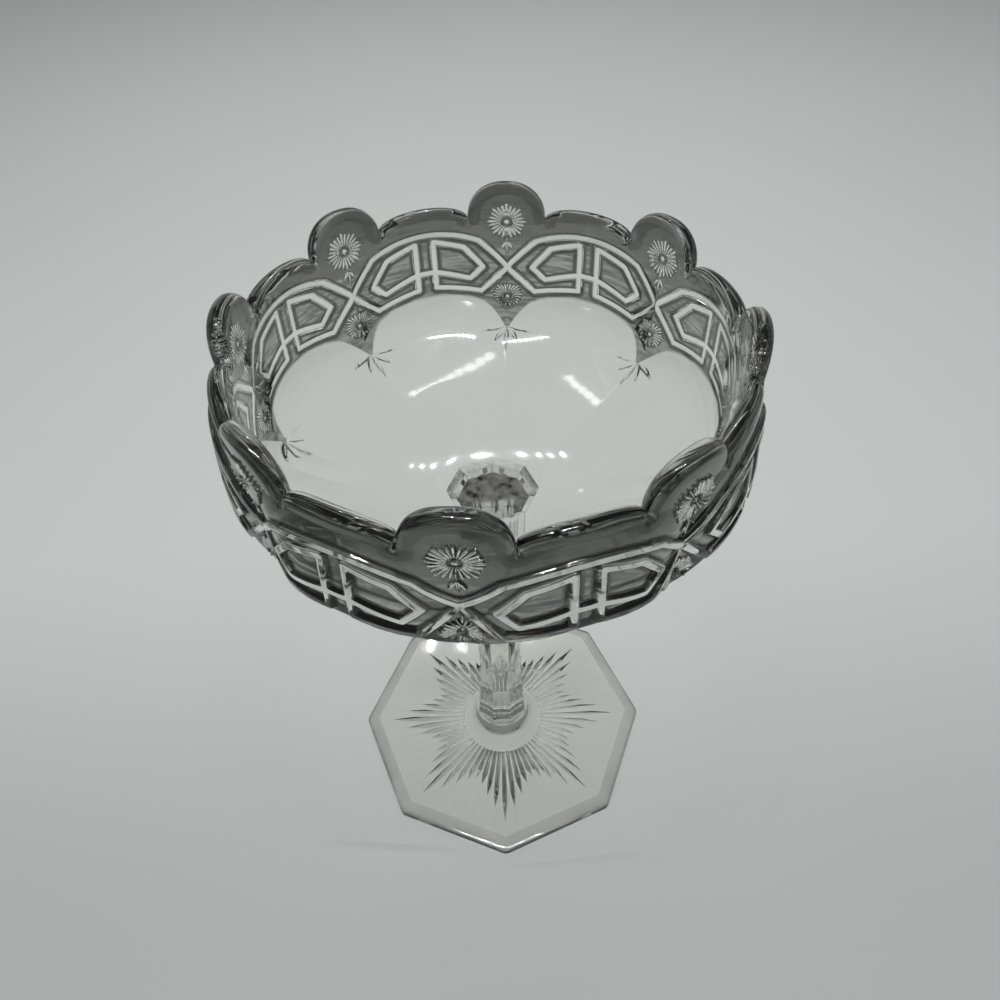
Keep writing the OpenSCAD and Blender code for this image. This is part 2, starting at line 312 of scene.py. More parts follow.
@dataclass(frozen=True)
class PressedGlass:
    """Clear pressed glass: fire-polished and faintly wavy, grey where shade is painted on it.

    The ground mark on the mesh holds painted light: -1 is a painted highlight, 0 is clear,
    1 is painted shade and 2 is deeper painted shade. Shadow and diffuse rays pass through most of it.
    """

    name: str
    clear: Colour = (0.975, 0.98, 0.96)
    # Colours of a painted highlight (mark -1), painted shade (mark 1) and the deepest painted shade
    # (mark 2)
    painted_highlight: Colour = (1.0, 1.0, 1.0)
    worked: Colour = (0.055, 0.055, 0.049)
    deepest_painted_shade: Colour = (0.012, 0.012, 0.01)
    index: float = 1.5
    polish: float = 0.03
    marked_polish: float = 0.025
    wave: Grain = Grain(42, 1, 0.00017)
    ripple: Grain = Grain(260, 2, 0.000006)
    pebble: Grain = Grain(700, 1, 0.0000005)
    streak: Grain = Grain(240, 3)
    streak_stretch: Place = (0.35, 0.35, 3.0)
    streak_least: float = 0.55
    streak_gain: float = 0.9
    shadow_pass: float = 0.96

    def material(self) -> bpy.types.Material:
        """Makes the material.

        Returns:
            The material.
        """
        made, bench = blank_material(self.name)
        where = bench.where()
        # The mark of painted shade, above 0, and of painted highlight, below 0
        ground = bench.mark(PAINTED_LIGHT_MARK)
        inputs = {0: where, 1: self.streak_stretch}
        along = bench.node("ShaderNodeVectorMath", {"operation": "MULTIPLY"}, inputs).outputs[0]
        streak = bench.noise(self.streak, along)
        # Painted shade, deepened in random streaks, then a white painted highlight where the mark is
        # below 0
        depth = ground * (self.streak_least + streak * self.streak_gain)
        colour = bench.mixed(depth, self.clear, self.worked)
        colour = bench.mixed(depth - 1, colour, self.deepest_painted_shade)
        colour = bench.mixed(-ground, colour, self.painted_highlight)
        height = (bench.rise(self.wave, where) + bench.rise(self.ripple, where)
                  + bench.rise(self.pebble, where))
        path = bench.node("ShaderNodeLightPath")
        shadow = Shade(bench, path.outputs["Is Shadow Ray"])
        diffuse = Shade(bench, path.outputs["Is Diffuse Ray"])
        bench.surface({
            "Base Color": colour,
            "Roughness": self.polish + ground * self.marked_polish,
            "IOR": self.index,
            "Transmission Weight": 1.0,
            "Normal": bench.bumped(height),
            "Alpha": 1 - shadow.larger(diffuse) * self.shadow_pass,
        })
        return made


@dataclass(frozen=True)
class JointPaintedShade:
    """The joint where two pieces of hot glass have become one, with a patchy grey of painted shade."""

    name: str = "joint_painted_shade"
    colour: Colour = (0.34, 0.345, 0.32)
    cover: float = 0.4
    patch: Grain = Grain(260, 2)
    patch_from: float = 0.25
    patch_to: float = 0.75

    def material(self) -> bpy.types.Material:
        """Makes the material.

        Returns:
            The material.
        """
        made, bench = blank_material(self.name)
        patch = bench.noise(self.patch, bench.where())
        # Painted shade: patchy grey standing in for the shade seen through the seat
        bench.surface({
            "Base Color": (*self.colour, 1),
            "Alpha": patch.smooth(self.patch_from, self.patch_to) * self.cover,
        })
        return made


@dataclass(frozen=True)
class PaleSheet:
    """The plain pale floor, a little paler behind the object, and painted lighter far away."""

    name: str = "pale_sheet"
    colour: Colour = (0.39, 0.41, 0.402)
    far_colour: Colour = (0.52, 0.545, 0.533)
    near_y: float = -0.1
    far_y: float = 0.13
    # Painted light: the far floor is lightened where the lamps' light falls off
    distant_painted_light: Colour = (0.86, 0.89, 0.88)
    distant_from: float = 1.2
    distant_to: float = 3.2
    cloud: Grain = Grain(3.0, 2)
    cloud_depth: float = 0.24
    fibre: Grain = Grain(900, 2, 0.00002)
    rough: float = 0.75
    shine: float = 0.2

    def material(self) -> bpy.types.Material:
        """Makes the material.

        Returns:
            The material.
        """
        made, bench = blank_material(self.name)
        where = bench.where()
        cloud = (bench.noise(self.cloud, where) - 0.5) * self.cloud_depth
        share = bench.split(where, "Y").smooth(self.near_y, self.far_y) + cloud
        colour = bench.mixed(share, self.colour, self.far_colour)
        reach = bench.node("ShaderNodeVectorMath", {"operation": "LENGTH"}, {0: where})
        distant = Shade(bench, reach.outputs["Value"]).smooth(self.distant_from, self.distant_to)
        bench.surface({
            "Base Color": bench.mixed(distant, colour, self.distant_painted_light),
            "Roughness": self.rough,
            "Specular IOR Level": self.shine,
            "Normal": bench.bumped(bench.rise(self.fibre, where)),
        })
        return made


# Shapes in rings


def lerp(first: Any, second: Any, share: Any) -> Any:
    """A value between two.

    Args:
        first: Value at share 0.
        second: Value at share 1.
        share: The share, a number or an array.

    Returns:
        The value between them.
    """
    return first + (second - first) * share


def bend(first: Any, corner: Any, last: Any, share: float) -> Any:
    """A place on a smooth turn from one line into another.

    Args:
        first: Where the turn starts, at share 0.
        corner: Where the two lines would meet.
        last: Where the turn ends, at share 1.
        share: How far round the turn the place is.

    Returns:
        The place.
    """
    return (1 - share) ** 2 * first + 2 * share * (1 - share) * corner + share * share * last


def soft_step(low: float, high: float, value: Array) -> Array:
    """A soft step.

    Args:
        low: Value at which the step is 0.
        high: Value at which the step is 1.
        value: The values.

    Returns:
        The step at each value.
    """
    share = np.clip((value - low) / (high - low), 0, 1)
    return share * share * (3 - 2 * share)


def from_corner(angle: Array) -> Array:
    """Angle to the nearest of eight even directions, 0 to HALF."""
    return np.abs((angle + HALF) % PITCH - HALF)


def round_length(radius: float) -> float:
    """Millimetres round a circle for each degree."""
    return math.radians(1) * radius


def octagon(radius: Any, angle: Array, keen: float = 140) -> Array:
    """Radius of an octagon with slightly rounded corners.

    Args:
        radius: Distance to its corners.
        angle: Directions, with a corner at 0.
        keen: How keen the corners are.

    Returns:
        The distance to its outline in each direction.
    """
    turned = np.radians(HALF - from_corner(angle))
    other = np.radians(HALF + from_corner(angle))
    reach = np.logaddexp(keen * np.cos(turned), keen * np.cos(other)) / keen
    return radius * math.cos(math.radians(HALF)) / reach


def to_path(x: Array, y: Array, path: list[Pair]) -> Array:
    """Distance from points to a path.

    Args:
        x: Points, across.
        y: Points, up.
        path: Corners of the path.

    Returns:
        The least distance at each point.
    """
    best = np.full(np.broadcast(x, y).shape, np.inf)
    for (ax, ay), (bx, by) in zip(path[:-1], path[1:]):
        dx, dy = bx - ax, by - ay
        share = np.clip(((x - ax) * dx + (y - ay) * dy) / (dx * dx + dy * dy), 0, 1)
        best = np.minimum(best, np.hypot(x - ax - share * dx, y - ay - share * dy))
    return best


def skin_normals(grid: Array) -> Array:
    """Unit normals of a grid of rings that run round the Z axis.

    Args:
        grid: Points as rings by columns by 3, rings from the middle of the underside out.

    Returns:
        The outward normals, in the same layout.
    """
    along = np.gradient(grid, axis=0)
    around = np.roll(grid, -1, axis=1) - np.roll(grid, 1, axis=1)
    normal = np.cross(around, along)
    return normal / np.maximum(np.linalg.norm(normal, axis=2, keepdims=True), NEAR_ZERO)


def placed(radius: Array, angle: Array, height: Array, turn: float = FRONT_TURN) -> Array:
    """Ring points from radius, angle and height.

    Args:
        radius: Distances from the axis.
        angle: Directions in degrees.
        height: Heights.
        turn: Turn added to every direction.

    Returns:
        The points, with x, y and z along the last axis.
    """
    way = np.radians(angle + turn)
    height = np.broadcast_to(height, np.shape(angle))
    radius = np.broadcast_to(radius, np.shape(angle))
    return np.stack([radius * np.cos(way), radius * np.sin(way), height], -1)


def sector_angles(half: Array) -> Array:
    """Directions of all columns from those of half a sector.

    Args:
        half: Angles from 0 to HALF.

    Returns:
        The directions all the way round.
    """
    sector = np.concatenate([half, PITCH - half[-2:0:-1]])
    return np.concatenate([sector + k * PITCH for k in range(SIDES)])


def sector_values(half: Array) -> Array:
    """Values of all columns from those of half a sector, along the last axis."""
    sector = np.concatenate([half, half[..., -2:0:-1]], axis=-1)
    return np.concatenate([sector] * SIDES, axis=-1)


class RingSkin:
    """A closed skin made of rings that are joined one to the next."""

    def __init__(self) -> None:
        """Starts an empty skin."""
        self.points: list[Array] = []
        self.marks: list[Array] = []
        self.faces: list[Array] = []
        self.kinds: list[Array] = []
        self.count = 0
        self.last: Array | None = None

    def _add(self, points: Array, mark: Array | None = None) -> Array:
        """Adds points.

        Args:
            points: Points as N by 3, in millimetres.
            mark: The ground mark at each, if not clear glass.

        Returns:
            Their numbers.
        """
        numbers = np.arange(self.count, self.count + len(points))
        self.points.append(points)
        self.marks.append(np.zeros(len(points)) if mark is None else mark)
        self.count += len(points)
        return numbers

    def _keep(self, faces: Array, kind: Face) -> None:
        """Keeps faces, with NO_CORNER in the fourth place of a triangle."""
        self.faces.append(faces)
        self.kinds.append(np.full(len(faces), kind.value))

    def _cap(self, middle: int, first: Array, second: Array, kind: Face) -> None:
        """Joins a middle point to the ring round it.

        Args:
            middle: Number of the middle point.
            first: Numbers of one end of each of the ring's sides.
            second: Numbers of the other end, in the order that faces outward.
            kind: The finish of the faces.
        """
        middles = np.full(len(first), middle)
        self._keep(np.stack([middles, first, second, np.full(len(first), NO_CORNER)], 1), kind)

    def start(self, centre: Place, ring: Array, kind: Face) -> None:
        """Closes the skin's first end.

        Args:
            centre: The middle point of the end.
            ring: The first ring.
            kind: The finish of the end.
        """
        middle = self._add(np.array([centre]))[0]
        self.last = self._add(ring)
        self._cap(middle, np.roll(self.last, -1), self.last, kind)

    def close(self, centre: Place, kind: Face) -> None:
        """Closes the skin's last end.

        Args:
            centre: The middle point of the end.
            kind: The finish of the end.
        """
        middle = self._add(np.array([centre]))[0]
        self._cap(middle, self.last, np.roll(self.last, -1), kind)

    def ring(self, points: Array, mark: Array | None = None) -> None:
        """Joins a ring to the last one; the two may differ by a whole factor.

        Args:
            points: The ring's points.
            mark: The ground mark at each, if not clear glass.
        """
        low, high = self.last, self._add(points, mark)
        if len(low) == len(high):
            sides = [low, np.roll(low, -1), np.roll(high, -1), high]
            self._keep(np.stack(sides, 1), Face.GLASS)
        elif len(low) > len(high):
            self._fan(low, high, flip=False)
        else:
            self._fan(high, low, flip=True)
        self.last = high

    def _fan(self, fine: Array, coarse: Array, flip: bool) -> None:
        """Joins a fine ring to a coarse one.

        Args:
            fine: Numbers of the fine ring.
            coarse: Numbers of the coarse ring.
            flip: Whether the fine ring comes last.
        """
        step = len(fine) // len(coarse)
        half = step // 2
        starts = np.arange(len(coarse)) * step
        after = np.roll(coarse, -1)
        blocks = []
        for i in range(step):
            sides = [fine[starts + i], np.roll(fine, -1)[starts + i], coarse if i < half else after]
            blocks.append(np.stack(sides, 1))
        blocks.append(np.stack([fine[starts + half], after, coarse], 1))
        made = np.concatenate(blocks)
        if flip:
            made = made[:, ::-1]
        self._keep(np.concatenate([made, np.full((len(made), 1), NO_CORNER)], 1), Face.GLASS)

    def piece(self, name: str, sharp: float) -> bpy.types.Object:
        """Makes the mesh object.

        Args:
            name: The piece's name.
            sharp: Angle in degrees over which an edge stays sharp.

        Returns:
            The object, linked to the scene.
        """
        faces = np.concatenate(self.faces)
        sizes = np.where(faces[:, 3] < 0, 3, 4)
        corners = faces[faces >= 0]
        mesh = bpy.data.meshes.new(name)
        mesh.vertices.add(self.count)
        mesh.vertices.foreach_set("co", (np.concatenate(self.points) * MM).ravel())
        mesh.loops.add(len(corners))
        mesh.loops.foreach_set("vertex_index", corners)
        mesh.polygons.add(len(faces))
        mesh.polygons.foreach_set("loop_start", np.concatenate([[0], np.cumsum(sizes)[:-1]]))
        mesh.update(calc_edges=True)
        mesh.polygons.foreach_set("use_smooth", np.ones(len(faces), bool))
        for _ in Face:
            mesh.materials.append(None)
        mesh.polygons.foreach_set("material_index", np.concatenate(self.kinds))
        layer = mesh.attributes.new(PAINTED_LIGHT_MARK, "FLOAT", "POINT")
        layer.data.foreach_set("value", np.concatenate(self.marks))
        mesh.set_sharp_from_angle(angle=math.radians(sharp))
        mesh.validate()
        made = bpy.data.objects.new(name, mesh)
        bpy.context.scene.collection.objects.link(made)
        return made


@dataclass
class GlassPiece:
    """A piece of glass that stands for one node of the frame."""

    node: str
    slot: str
    finish: PressedGlass
    joint: bpy.types.Material

    def dress(self, skin: RingSkin, sharp: float) -> bpy.types.Object:
        """Makes the object, gives it its finishes and puts it on the body.

        Args:
            skin: The closed skin.
            sharp: Angle over which an edge stays sharp.

        Returns:
            The object.
        """
        made = skin.piece(f"{self.node}_pressed", sharp)
        made.material_slots[Face.GLASS.value].material = self.finish.material()
        made.material_slots[Face.JOINT.value].material = self.joint
        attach(made, BODY)
        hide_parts(self.node)
        log.info("%s: %d points", made.name, len(made.data.vertices))
        return made


# The foot


@dataclass
class Foot(GlassPiece):
    """Octagonal foot with a sloped border, a low dome and a sunburst underneath."""

    across: float = 124
    edge_t: float = 3.4
    plate_t: float = 4.4
    border_w: float = 5.2
    corner_r: float = 4
    inner_corner_r: float = 2
    arris: float = 0.5
    crease_w: float = 0.5
    dome_r: float = 17.5
    dome_h: float = BASE_Z
    top_r: float = BASE_R

    # The sunburst
    rays_per_side: int = 8
    ray_long: float = 51
    ray_short: float = 32
    ray_depth: float = 1.5
    ray_w: float = 2.4
    reach_power: float = 1.5
    wide_share: float = 0.7
    root_w_share: float = 0.94
    root_depth_share: float = 0.6
    root_gap: float = 0.15

    # Marks of painted shade and painted highlight, with the shares of a groove on which they lie
    arris_painted_shade: float = 0.75
    border_painted_shade: float = 0.36
    border_edge_share: float = 1.3
    border_fade_share: float = 0.45
    ray_painted_shade: float = 0.4
    lit_share: float = 0.3
    shade_shares: Pair = (0.02, 0.2)
    shade_full_share: float = 0.9
    glint_depth_share: float = 0.45
    glint_w_share: float = 1.2
    glint_end_share: float = 0.35

    # Rows and columns of the skin
    ray_columns: int = 12
    middle_rows: int = 3
    sunburst_rows: int = 84
    plate_rows: int = 9
    border_rows: int = 5
    dome_rows: int = 26
    lower_turns: tuple[float, ...] = (30, 60, 90)
    upper_turns: tuple[float, ...] = (0, 25, 50, 75)
    sharp: float = 48

    def outline(self, inset: float, corner: float, angle: Array) -> Array:
        """Radius of the rounded octagon.

        Args:
            inset: How far inside the foot's edge it runs.
            corner: Radius of its corners.
            angle: Directions, with a corner at 0.

        Returns:
            The distance to it in each direction.
        """
        half = math.radians(HALF)
        flat = self.across / 2 * math.cos(half) - inset
        reach = (flat - corner) / math.cos(half)
        off = np.radians(from_corner(angle))
        straight = flat / np.cos(half - off)
        spread = np.maximum(corner**2 - (reach * np.sin(off)) ** 2, 0)
        rounded = reach * np.cos(off) + np.sqrt(spread)
        tangent = math.atan((flat - corner) * math.tan(half) / flat)
        return np.where(half - off < tangent, straight, rounded)

    def groove(self, radius: float, angle: Array) -> tuple[Array, Array]:
        """Depth of the sunburst under the foot, and how its faces are marked.

        Args:
            radius: Distance from the middle.
            angle: Directions, with a corner of the foot at 0.

        Returns:
            The depth in each direction, and the mark: painted shade on the shaded face of a
            groove, fainter on the lit one, and a painted highlight where the lit face glints.
        """
        between = PITCH / self.rays_per_side
        place = np.round(angle / between)
        off = np.radians(angle - place * between)
        along, aside = radius * np.cos(off), np.abs(radius * np.sin(off))
        share = np.abs(2 * (place % self.rays_per_side) / self.rays_per_side - 1)
        length = lerp(self.ray_short, self.ray_long, share**self.reach_power)
        wide = lerp(self.dome_r, length, self.wide_share)
        rise = np.clip((along - self.dome_r) / (wide - self.dome_r), 0, 1)
        fall = np.clip((length - along) / (length - wide), 0, 1)
        root_half = self.root_w_share * math.pi * self.dome_r / (SIDES * self.rays_per_side)
        half = lerp(root_half, self.ray_w / 2, rise) * fall
        deep = lerp(self.root_depth_share, 1, rise) * fall * self.ray_depth
        shape = np.maximum(1 - aside / np.maximum(half, HAIR), 0)
        # Painted shade on the groove's shaded face, less on its lit face; a painted highlight where
        # the lit face glints
        shade = np.where(off > 0, 1.0, self.lit_share) * soft_step(*self.shade_shares, shape)
        shade = shade * soft_step(0.0, self.shade_full_share, rise)
        lit = (off <= 0) & (aside < half * self.glint_w_share)
        glint = lit & (shape < self.glint_depth_share) & (fall > self.glint_end_share)
        return deep * shape, np.where(glint, PAINTED_HIGHLIGHT_MARK, self.ray_painted_shade * shade)

    def underside(self, skin: RingSkin, angle: Array, edge: Array) -> None:
        """Adds the flat underside with its sunburst, from the middle out.

        Args:
            skin: The skin, still empty.
            angle: Directions of the columns.
            edge: Radius of the foot's edge in each direction.
        """
        middle = self.dome_r / self.middle_rows
        skin.start((0, 0, 0), placed(middle, angle, 0), Face.GLASS)
        for row in range(2, self.middle_rows):
            skin.ring(placed(row * middle, angle, 0))
        skin.ring(placed(self.dome_r - self.root_gap, angle, 0))
        for row in range(self.sunburst_rows + 1):
            radius = lerp(self.dome_r, self.ray_long, row / self.sunburst_rows)
            depth, mark = self.groove(radius, angle)
            skin.ring(placed(radius, angle, depth), mark)
        for row in range(1, self.plate_rows + 1):
            share = row / self.plate_rows
            skin.ring(placed(lerp(self.ray_long, edge - self.arris, share), angle, 0))

    def rim(self, skin: RingSkin, angle: Array, edge: Array) -> None:
        """Adds the upright edge with its two rounded arrises, with painted shade on the upper one.

        Args:
            skin: The skin, which ends at the underside's border.
            angle: Directions of the columns.
            edge: Radius of the foot's edge in each direction.
        """
        for way in map(math.radians, self.lower_turns):
            radius = edge - self.arris * (1 - math.sin(way))
            skin.ring(placed(radius, angle, self.arris * (1 - math.cos(way))))
        # Painted shade along the upper arris
        mark = np.full(len(angle), self.arris_painted_shade)
        for way in map(math.radians, self.upper_turns):
            radius = edge - self.arris * (1 - math.cos(way))
            height = self.edge_t - self.arris * (1 - math.sin(way))
            skin.ring(placed(radius, angle, height), mark)

    def upperside(self, skin: RingSkin, angle: Array, edge: Array) -> None:
        """Adds the sloped border with painted shade, the crease inside it with a painted highlight,
        the plate and the dome.

        Args:
            skin: The skin, which ends at the foot's edge.
            angle: Directions of the columns.
            edge: Radius of the foot's edge in each direction.
        """
        inner = self.outline(self.border_w, self.inner_corner_r, angle)
        for row in range(1, self.border_rows + 1):
            share = row / self.border_rows
            points = placed(lerp(edge - self.arris, inner, share), angle,
                            lerp(self.edge_t, self.plate_t, share))
            # Painted shade on the sloped border, deepest at its outer edge
            painted_shade = self.border_painted_shade * (self.border_edge_share - self.border_fade_share * share)
            skin.ring(points, np.full(len(angle), painted_shade))
        inner = inner - self.crease_w
        crease = placed(inner + self.crease_w / 2, angle, self.plate_t)
        # A painted highlight along the crease
        skin.ring(crease, np.full(len(angle), PAINTED_HIGHLIGHT_MARK))
        for row in range(self.plate_rows + 1):
            share = row / self.plate_rows
            skin.ring(placed(lerp(inner, self.dome_r, share), angle, self.plate_t))
        for row in range(1, self.dome_rows + 1):
            way = math.pi / 2 * row / self.dome_rows
            radius = lerp(self.dome_r, self.top_r, math.sin(way))
            skin.ring(placed(radius, angle, lerp(self.plate_t, self.dome_h, 1 - math.cos(way))))
        skin.ring(placed(octagon(self.top_r, angle + HALF), angle, self.dome_h))
        skin.close((0, 0, self.dome_h), Face.JOINT)

    def build(self) -> bpy.types.Object:
        """Builds the foot.

        Returns:
            The object.
        """
        count = SIDES * self.rays_per_side * self.ray_columns
        angle = np.arange(count) * 360 / count
        edge = self.outline(0, self.corner_r, angle)
        skin = RingSkin()
        self.underside(skin, angle, edge)
        self.rim(skin, angle, edge)
        self.upperside(skin, angle, edge)
        return self.dress(skin, self.sharp)


# The stem


@dataclass
class Stem(GlassPiece):
    """Eight-sided stem with a faceted foot end and a flared seat.

    The collar and the shaft are two octagons, turned half a side apart, and at each
    height the stem has the outline of both together.
    """

    base_r: float = BASE_R
    base_z: float = BASE_Z
    waist_r: float = 8.5
    waist_z: float = 52
    shaft_r: float = 12.4
    seat_r: float = SEAT_R
    seat_z: float = SEAT_Z
    flare_h: float = 7
    flare_r_share: float = 0.35
    flare_z_share: float = 0.6
    collar_z_shares: tuple[float, ...] = (0, 0.3, 0.68, 1, 1.22)
    collar_r_shares: tuple[float, ...] = (1, 0.58, 0.4, -0.02, -0.4)
    shaft_start_share: float = 0.8
    hidden_r: float = 0.1
    blend: float = 0.12
    half_columns: int = 27
    step: float = 0.7
    sharp: float = 50

    def build(self) -> bpy.types.Object:
        """Builds the stem.

        Returns:
            The object.
        """
        angle = sector_angles(np.linspace(0, HALF, self.half_columns + 1))
        rise = self.waist_z - self.base_z
        top = self.seat_z - self.flare_h
        taper = (self.shaft_r - self.waist_r) / (top - self.waist_z)
        collar_z = [self.base_z + share * rise for share in self.collar_z_shares]
        collar_r = [lerp(self.waist_r, self.base_r, share) for share in self.collar_r_shares]
        start = self.base_z + self.shaft_start_share * rise
        shaft_z = [start, top, lerp(top, self.seat_z, self.flare_z_share), self.seat_z]
        shaft_r = [self.waist_r + taper * (start - self.waist_z), self.shaft_r,
                   lerp(self.shaft_r, self.seat_r, self.flare_r_share), self.seat_r]
        rows = round((self.seat_z - self.base_z) / self.step)
        skin = RingSkin()
        for row in range(rows + 1):
            z = lerp(self.base_z, self.seat_z, row / rows)
            collar = octagon(np.interp(z, collar_z, collar_r, right=self.hidden_r), angle + HALF)
            shaft = octagon(np.interp(z, shaft_z, shaft_r, left=self.hidden_r), angle)
            radius = self.blend * np.logaddexp(collar / self.blend, shaft / self.blend)
            if row in (0, rows):
                radius = np.maximum(collar, shaft)
            points = placed(radius, angle, z)
            if row == 0:
                skin.start((0, 0, self.base_z), points, Face.JOINT)
            else:
                skin.ring(points)
        skin.close((0, 0, self.seat_z), Face.JOINT)
        return self.dress(skin, self.sharp)


# The bowl's relief


@dataclass(frozen=True)
class Daisy:
    """A daisy of fine rays round a button, at a height on the band."""

    level: float
    radius: float
    groups: int = 8
    rays_in_group: int = 3
    valley_share: float = 0.8
    belly_share: float = 0.62
    ray_w_share: float = 0.92
    least_w_share: float = 0.02
    start_shares: Pair = (0.2, 0.34)
    button_share: float = 0.15
    bed_shares: Pair = (0.9, 1.04)

    def over(self, x: Array, y: Array) -> Array:
        """Height of the daisy.

        Args:
            x: Distance from its middle, across.
            y: Distance from its middle, up.

        Returns:
            The height at each point, 0 to 1.
        """
        far = np.hypot(x, y)
        way = np.degrees(np.arctan2(x, y))
        group = 360 / self.groups
        ray = group / self.rays_in_group
        in_group = np.abs((way + group / 2) % group - group / 2) / (group / 2)
        in_ray = np.abs((way + ray / 2) % ray - ray / 2) / (ray / 2)
        reach = self.radius * lerp(1, self.valley_share, in_group**2)
        belly = self.belly_share * reach
        taper = np.clip((far - belly) / (reach - belly), 0, 1)
        width = np.sqrt(np.maximum(1 - taper**2, 0)) * self.ray_w_share
        ridge = np.maximum(1 - (in_ray / np.maximum(width, HAIR)) ** 2, 0)
        start = soft_step(*(share * self.radius for share in self.start_shares), far)
        button = np.sqrt(np.maximum(1 - (far / (self.button_share * self.radius)) ** 2, 0))
        return np.maximum(ridge * start * (width > self.least_w_share), button)

    def bed(self, x: Array, y: Array) -> Array:
        """The round of ground that the daisy lies on, which takes deeper painted shade.

        Args:
            x: Distance from its middle, across.
            y: Distance from its middle, up.

        Returns:
            1 on the bed and 0 off it.
        """
        inner, outer = (share * self.radius for share in self.bed_shares)
        return 1 - soft_step(inner, outer, np.hypot(x, y))


@dataclass(frozen=True)
class Spray:
    """Pointed leaves that spread from one root."""

    ways: tuple[float, ...]
    lengths: tuple[float, ...]
    width: float
    belly_power: float = 0.8

    def over(self, x: Array, y: Array) -> Array:
        """Height of the leaves.

        Args:
            x: Distance from the root, across.
            y: Distance from the root, up.

        Returns:
            The height at each point, 0 to 1.
        """
        best = np.zeros(np.broadcast(x, y).shape)
        for way, length in zip(map(math.radians, self.ways), self.lengths):
            along = -y * math.cos(way) + x * math.sin(way)
            aside = np.abs(x * math.cos(way) + y * math.sin(way))
            share = np.clip(along / length, 0, 1)
            belly = np.sin(math.pi * share**self.belly_power) * self.width / 2
            inside = (along > 0) & (along < length)
            best = np.maximum(best, inside * (1 - aside / np.maximum(belly, HAIR)))
        return best


@dataclass(frozen=True)
class Frames:
    """Raised frames over half a panel of the band, which its other half mirrors.

    A corner is an angle from the panel's middle and a height over the crossings, which
    is then stretched. The painted shade of a rib is given from its flat top, over its side,
    to the ground.
    """

    rib_h: float = 1.2
    rib_root: float = 3.3
    rib_top: float = 1.7
    stretch: float = 1.03
    bar: float = 2.5
    bridge_z: float = -1.5
    bar_low_z: float = -8.3
    low_corner: Pair = (14.8, -11.2)
    arch_high_z: float = 9.8
    arch_low_z: float = 13.8
    arch_points: int = 9
    gable_z: float = 10.8
    house: tuple[Pair, ...] = ((12, -5.6), (15.6, -0.6), (10.6, 7.4))
    top_steps: Pair = (-0.12, 0.05)
    root_steps: tuple[float, ...] = (-0.55, -0.15, 0.4, 0.8)
    painted_shade_tones: tuple[float, ...] = (0.0, 0.4, 0.6, 2.4, 2.4, 1.0)

    def paths(self, flat: float) -> list[list[Pair]]:
        """Middle lines of the ribs.

        Args:
            flat: Millimetres round the band for each degree.

        Returns:
            The outer frame, the house-shaped frame and the bridge between two bars.
        """
        corner = self.low_corner[0]
        shares = np.linspace(1, 0, self.arch_points)
        arch = [(corner * s, lerp(self.arch_low_z, self.arch_high_z, s * s)) for s in shares]
        sill = (self.bar, self.bridge_z)
        gable = (self.bar, self.gable_z)
        outer = [sill, (self.bar, self.bar_low_z), self.low_corner, (HALF, 0.0), *arch]
        house = [gable, sill, *self.house, gable]
        bridge = [(0.0, self.bridge_z), sill]
        return [[(x * flat, y * self.stretch) for x, y in path] for path in (outer, house, bridge)]

    def over(self, x: Array, y: Array, flat: float) -> tuple[Array, Array]:
        """Height and painted shade of the frames.

        Args:
            x: Distance from the panel's middle round the band.
            y: Height over the crossings.
            flat: Millimetres round the band for each degree.

        Returns:
            The height, and the painted shade mark of the ribs and the ground.
        """
        away = np.minimum.reduce([to_path(x, y, path) for path in self.paths(flat)])
        top, root = self.rib_top / 2, self.rib_root / 2
        places = [top + step for step in self.top_steps] + [root + step for step in self.root_steps]
        # The second value is painted shade: clear rib tops, dark outlines, grey ground
        return self.rib_h * (1 - soft_step(top, root, away)), np.interp(away, places, self.painted_shade_tones)


@dataclass(frozen=True)
class GroundPaintedShade:
    """How deep the painted shade on the ground is, as marks, and where it changes.

    It is darker high on the band and round the petals, and fades towards the rim.
    """

    high_gain: float = 0.8
    high_z: Pair = (198, 218)
    bed: float = 1.85
    petal_least: float = 0.02
    petal_gain: float = 1.7
    petal_loss: float = 0.25
    rim_shares: Pair = (0.5, 0.92)
    rim_reach: Pair = (0.6, 2.2)
    bead_shade: float = 0.6
    bead_rise: Pair = (1.6, 3.4)
    bead_fall: Pair = (3.8, 5.4)

    def at_rim(self, away: Array) -> Array:
        """How the painted shade of the ground fades at the rim, with deeper painted shade just below
        it.

        Args:
            away: Distances from the rim's line.

        Returns:
            The share of the mark that stays at each place.
        """
        # Painted shade on the roll just below the rim
        bead_shade = soft_step(*self.bead_rise, away) * (1 - soft_step(*self.bead_fall, away))
        return lerp(*self.rim_shares, soft_step(*self.rim_reach, away)) + self.bead_shade * bead_shade


# The bowl


